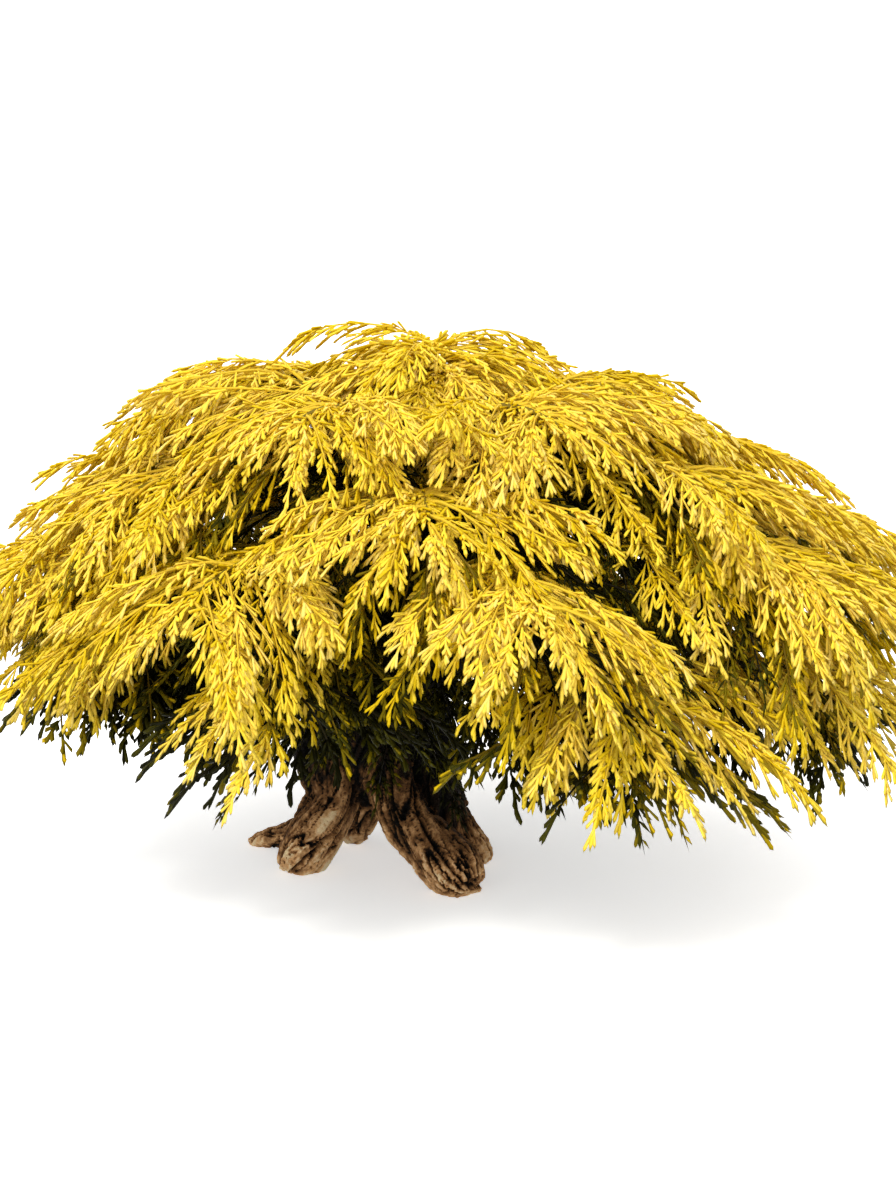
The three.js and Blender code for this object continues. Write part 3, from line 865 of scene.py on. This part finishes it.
def bark_objects(curves):
    """The trunk, fused and cut flat at the ground, and the boughs."""
    bark = bark_material()
    limbs = [(path, radius_at, 1.0) for path, radius_at in trunk_limbs()]
    points, faces = joined(limb_mesh(path, radius_at, 48, 80) for path, radius_at, _ in limbs)
    trunk = mesh_object("trunk_bark", points, faces, [bark])
    remesh = trunk.modifiers.new("fuse", "REMESH")
    remesh.mode = "VOXEL"
    remesh.voxel_size = VOXEL
    smooth = trunk.modifiers.new("soften", "SMOOTH")
    smooth.iterations = 5
    mesh = bpy.data.meshes.new_from_object(trunk.evaluated_get(bpy.context.evaluated_depsgraph_get()))
    trunk.modifiers.clear()
    plain = trunk.data
    trunk.data = mesh
    bpy.data.meshes.remove(plain)
    set_relief(mesh, limbs, BARK["depth"])

    limbs = list(bough_limbs(curves))
    points, faces = joined(limb_mesh(path, radius_at, 12, 18, 0, end, UP) for path, radius_at, end in limbs)
    boughs = mesh_object("boughs_bark", points, faces, [bark])
    set_relief(boughs.data, limbs, BOUGH_DEPTH)
    return trunk, boughs


# Light, floor and camera.


def make_stage():
    """A wide, round floor whose rim rises all round, in metres."""
    profile = [(0.01, 0.0), (8.0, 0.0), (10.0, 0.1), (11.3, 0.5), (12.0, 1.2), (12.2, 4.0)]
    sides = 64
    points, faces = [], []
    for reach, height in profile:
        for j in range(sides):
            angle = 2 * math.pi * j / sides
            points.append((reach * math.cos(angle), reach * math.sin(angle), height))
    for ring in range(len(profile) - 1):
        for j in range(sides):
            a, b = ring * sides + j, ring * sides + (j + 1) % sides
            faces += [(a, b + sides, b), (a, a + sides, b + sides)]
    faces += [(0, j, j + 1) for j in range(1, sides - 1)]
    pale, shader = material("floor_pale", (250, 250, 249), 0.9)
    shader.inputs["Emission Color"].default_value = (1, 1, 1, 1)
    shader.inputs["Emission Strength"].default_value = 0.5
    floor = mesh_object("floor", np.array(points) / MM, np.array(faces), [pale])
    floor.visible_diffuse = False
    floor.visible_shadow = False


def make_lamp(name, heading, energy, angle, color):
    """A sun that shines from heading."""
    sun = bpy.data.lights.new(name, "SUN")
    sun.energy = energy
    sun.angle = math.radians(angle)
    sun.color = color
    lamp = bpy.data.objects.new(name, sun)
    lamp.rotation_euler = Vector(heading).to_track_quat("Z", "Y").to_euler()
    bpy.context.scene.collection.objects.link(lamp)


def make_light():
    """A pale sky over a dark lower half, a key light from the upper left and a low fill in front."""
    world = bpy.data.worlds.new("studio")
    bpy.context.scene.world = world
    world.use_nodes = True
    nodes, links = world.node_tree.nodes, world.node_tree.links
    place = nodes.new("ShaderNodeTexCoord")
    split = nodes.new("ShaderNodeSeparateXYZ")
    links.new(place.outputs["Generated"], split.inputs["Vector"])
    ramp = nodes.new("ShaderNodeValToRGB")
    ramp.color_ramp.elements[0].position = 0.0
    ramp.color_ramp.elements[0].color = (0.25, 0.25, 0.25, 1)
    ramp.color_ramp.elements[1].position = 0.04
    ramp.color_ramp.elements[1].color = (1, 1, 1, 1)
    links.new(split.outputs["Z"], ramp.inputs["Fac"])
    background = nodes["Background"]
    links.new(ramp.outputs["Color"], background.inputs["Color"])
    background.inputs["Strength"].default_value = 1.26
    make_lamp("key", (-0.55, -1.0, 1.25), 1.58, 12, (1.0, 0.98, 0.93))
    make_lamp("fill", (-0.25, -1.0, 0.16), 0.4, 30, (1.0, 0.98, 0.92))


def make_camera():
    camera = bpy.data.objects.new("camera", bpy.data.cameras.new("camera"))
    rise = math.radians(CAMERA_ELEVATION)
    back = Vector((0, -math.cos(rise), math.sin(rise)))
    camera.location = Vector(CAMERA_TARGET) + back * CAMERA_DISTANCE
    camera.rotation_euler = back.to_track_quat("Z", "Y").to_euler()
    camera.data.lens = CAMERA_LENS
    camera.data.sensor_width = 36
    camera.data.clip_start = 0.05
    bpy.context.scene.collection.objects.link(camera)
    bpy.context.scene.camera = camera


counts = {}


def place_piece(piece, slot, *nodes):
    """Says what a piece rides on and which nodes it replaces, and counts its faces. Its slot is not used.
    """
    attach(piece, "root")
    if nodes:
        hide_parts(*nodes)
    counts[piece.name] = len(piece.data.polygons)


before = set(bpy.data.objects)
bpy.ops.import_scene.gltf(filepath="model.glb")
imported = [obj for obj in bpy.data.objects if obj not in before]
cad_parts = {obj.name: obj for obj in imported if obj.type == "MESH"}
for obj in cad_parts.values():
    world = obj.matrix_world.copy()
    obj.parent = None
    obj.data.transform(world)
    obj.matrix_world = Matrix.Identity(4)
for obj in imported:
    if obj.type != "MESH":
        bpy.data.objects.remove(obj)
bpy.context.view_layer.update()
# Without a seed, noise_vector gives another bark each run.
noise.seed_set(SEED)
bpy.context.scene.view_settings.view_transform = "Standard"
make_camera()
make_stage()
make_light()

KINDS = [
    branchlet_kind(np.random.default_rng(SEED + kind), kind < LEAFY_KINDS)
    for kind in range(LEAFY_KINDS + BARE_KINDS)
]
LEAF_MATERIALS = [leaf_material(name, color, 0.06 + 0.02 * i) for i, (name, color) in enumerate(TONES)]
TWIG_MATERIALS = [leaf_material(name, color, 0.1) for name, color in TWIG_TONES]

plumes = []
for level, tier in enumerate(TIERS):
    draw = seeded_random(SEED + level)
    for i in range(tier["boughs"]):
        azimuth = math.radians(tier["azimuth"]) + i * 2 * math.pi / tier["boughs"]
        curve = bough_curve(tier, azimuth, (draw() - 0.5) * SWERVE, STAGGER * ((i % 3) - 1))
        plumes.append((f"{tier['name']}_{i + 1:02d}", tier, curve, SEED + 100 * level + i))

# The golden pieces: a tier, and the first and last of its plumes.
GROUPS = [
    ("skirt", 0, 4), ("skirt", 4, 8), ("lower", 0, 4), ("lower", 4, 8), ("middle", 0, 3), ("middle", 3, 6),
    ("upper", 0, 6),
]
twigs = Twigs()
for name, first, last in GROUPS:
    chosen = [p for p in plumes if p[1]["name"] == name][first:last]
    rng = np.random.default_rng(SEED + 7 * len(counts) + 1000)
    foliage = Foliage(rng, twigs)
    for _, tier, curve, seed in chosen:
        fill_plume(foliage, tier, curve, seed, rng)
    nodes = ["plume_" + p[0] for p in chosen]
    if name == "upper":
        fill_top(foliage, rng)
        nodes.append("plume_top")
    points, faces, tones = foliage.finish()
    piece = mesh_object(f"foliage_{name}_{first + 1}", points, faces, LEAF_MATERIALS, tones)
    place_piece(piece, "foliage", *nodes)

# The dark growth: sprays in near-black tones, painted shade under the hem, inside the crown and round the
# leader.
for part in DARK_GROWTH:
    rng = np.random.default_rng(SEED + 99 + len(counts))
    dark = Foliage(rng, twigs)
    dark.leafy, dark.radius, dark.spacing = DARK_GROWTH[part]
    for _, tier, curve, _ in plumes:
        if part == "hem" and tier["name"] == "skirt":
            number = LEFT_HEM_SPRAYS if curve.at(1)[0] < -100 else HEM_SPRAYS
            fill_inside(dark, tier, curve, rng, number, (0.3, 0.98), HEM_MARGIN, (0, 0.25))
        elif part == "inside":
            fill_inside(dark, tier, curve, rng, INSIDE_SPRAYS, (0.15, 0.85), INSIDE_MARGIN, (0, 0.3))
    if part == "core":
        fill_core(dark, rng)
    points, faces, tones = dark.finish()
    piece = mesh_object(f"foliage_{part}", points, faces, LEAF_MATERIALS, tones)
    place_piece(piece, "foliage")

points, faces, tones = twigs.arrays()
place_piece(mesh_object("twigs", points, faces, TWIG_MATERIALS, tones), "bark")

trunk, boughs = bark_objects([(tier, curve) for _, tier, curve, _ in plumes])
place_piece(trunk, "bark", "trunk")
place_piece(boughs, "bark", *["bough_" + p[0] for p in plumes])
